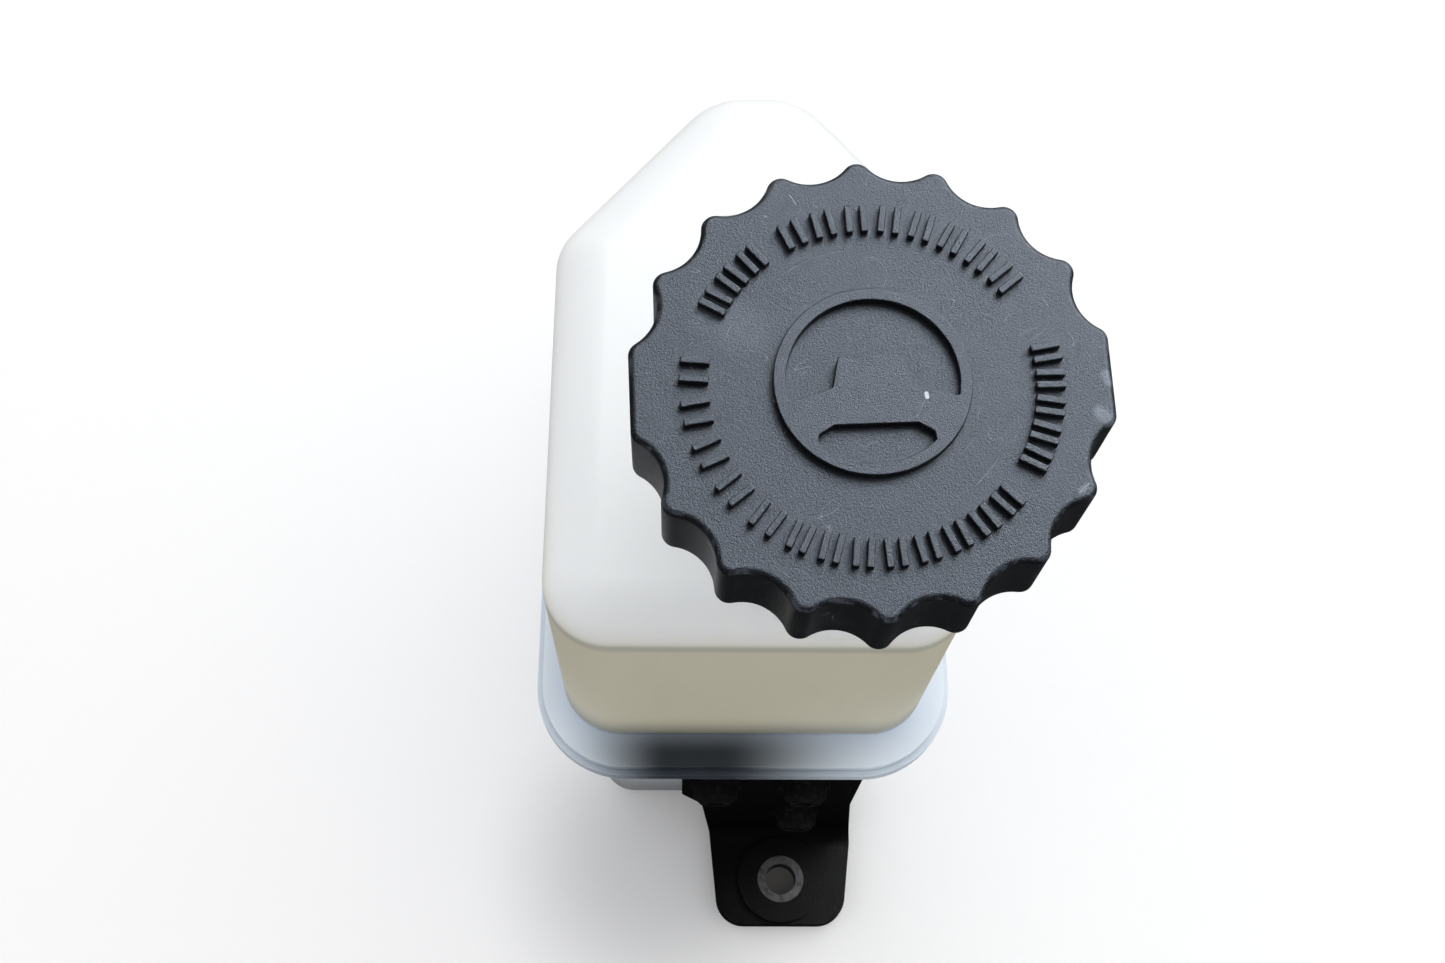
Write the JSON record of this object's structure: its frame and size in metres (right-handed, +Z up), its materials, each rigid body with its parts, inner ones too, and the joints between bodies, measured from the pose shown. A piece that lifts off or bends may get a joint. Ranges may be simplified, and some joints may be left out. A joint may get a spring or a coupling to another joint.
{
  "type": "power steering reservoir",
  "caption": "Translucent two-shell power steering fluid reservoir with fluted filler cap, dipstick, return filter and black footed bracket.",
  "frame": {"origin": "on the base plane, on the tank's centre line, below the row of the filler neck", "axes": "+Z up, +Y from the bracket foot towards the hose nipples, +X towards the side of the filler neck"},
  "size_m": [0.0828, 0.147, 0.205],
  "materials": {
    "milky_plastic": "satin",
    "sump_plastic": "satin",
    "black_plastic": "satin",
    "bracket_plastic": "satin",
    "filter_plastic": "matte",
    "filter_cloth": "matte",
    "stick_plastic": "satin",
    "rubber": "matte",
    "zinc_steel": "satin",
    "black_steel": "satin",
    "spring_steel": "satin",
    "brass": "satin",
    "felt": "matte"
  },
  "bodies": {
    "tank": {"upper_shell": "milky_plastic", "lower_shell": "sump_plastic", "baffle_plate": "filter_plastic", "filter_base": "filter_plastic", "filter_seal": "rubber", "filter_cage": "filter_plastic", "filter_mesh": "filter_cloth", "filter_head": "filter_plastic", "bypass_spring": "spring_steel", "bracket": "bracket_plastic", "foot_sleeve": "zinc_steel", "bracket_screws": "black_steel", "bracket_washers": "black_steel", "bracket_inserts": "brass"},
    "dipstick": {"dipstick": "stick_plastic"},
    "cap": {"cap": "black_plastic", "cap_gasket": "rubber", "cap_breather": "felt", "dipstick_keeper": "black_plastic"},
    "bypass_valve": {"bypass_disc": "zinc_steel"}
  },
  "joints": [
    {"name": "cap_lift", "type": "slide", "parent": "tank", "child": "dipstick", "axis": [0, 0, 1], "range_m": [0, 0.11]},
    {"name": "cap_turn", "type": "hinge", "parent": "dipstick", "child": "cap", "pos_m": [0.0127, 0, 0.2], "axis": [0, 0, 1], "range_deg": [0, 90]},
    {"name": "bypass_lift", "type": "slide", "parent": "tank", "child": "bypass_valve", "axis": [0, 0, 1], "range_m": [0, 0.003], "stiffness_N_per_m": 800, "springref_m": -0.004, "deforming": ["bypass_spring"]}
  ]
}
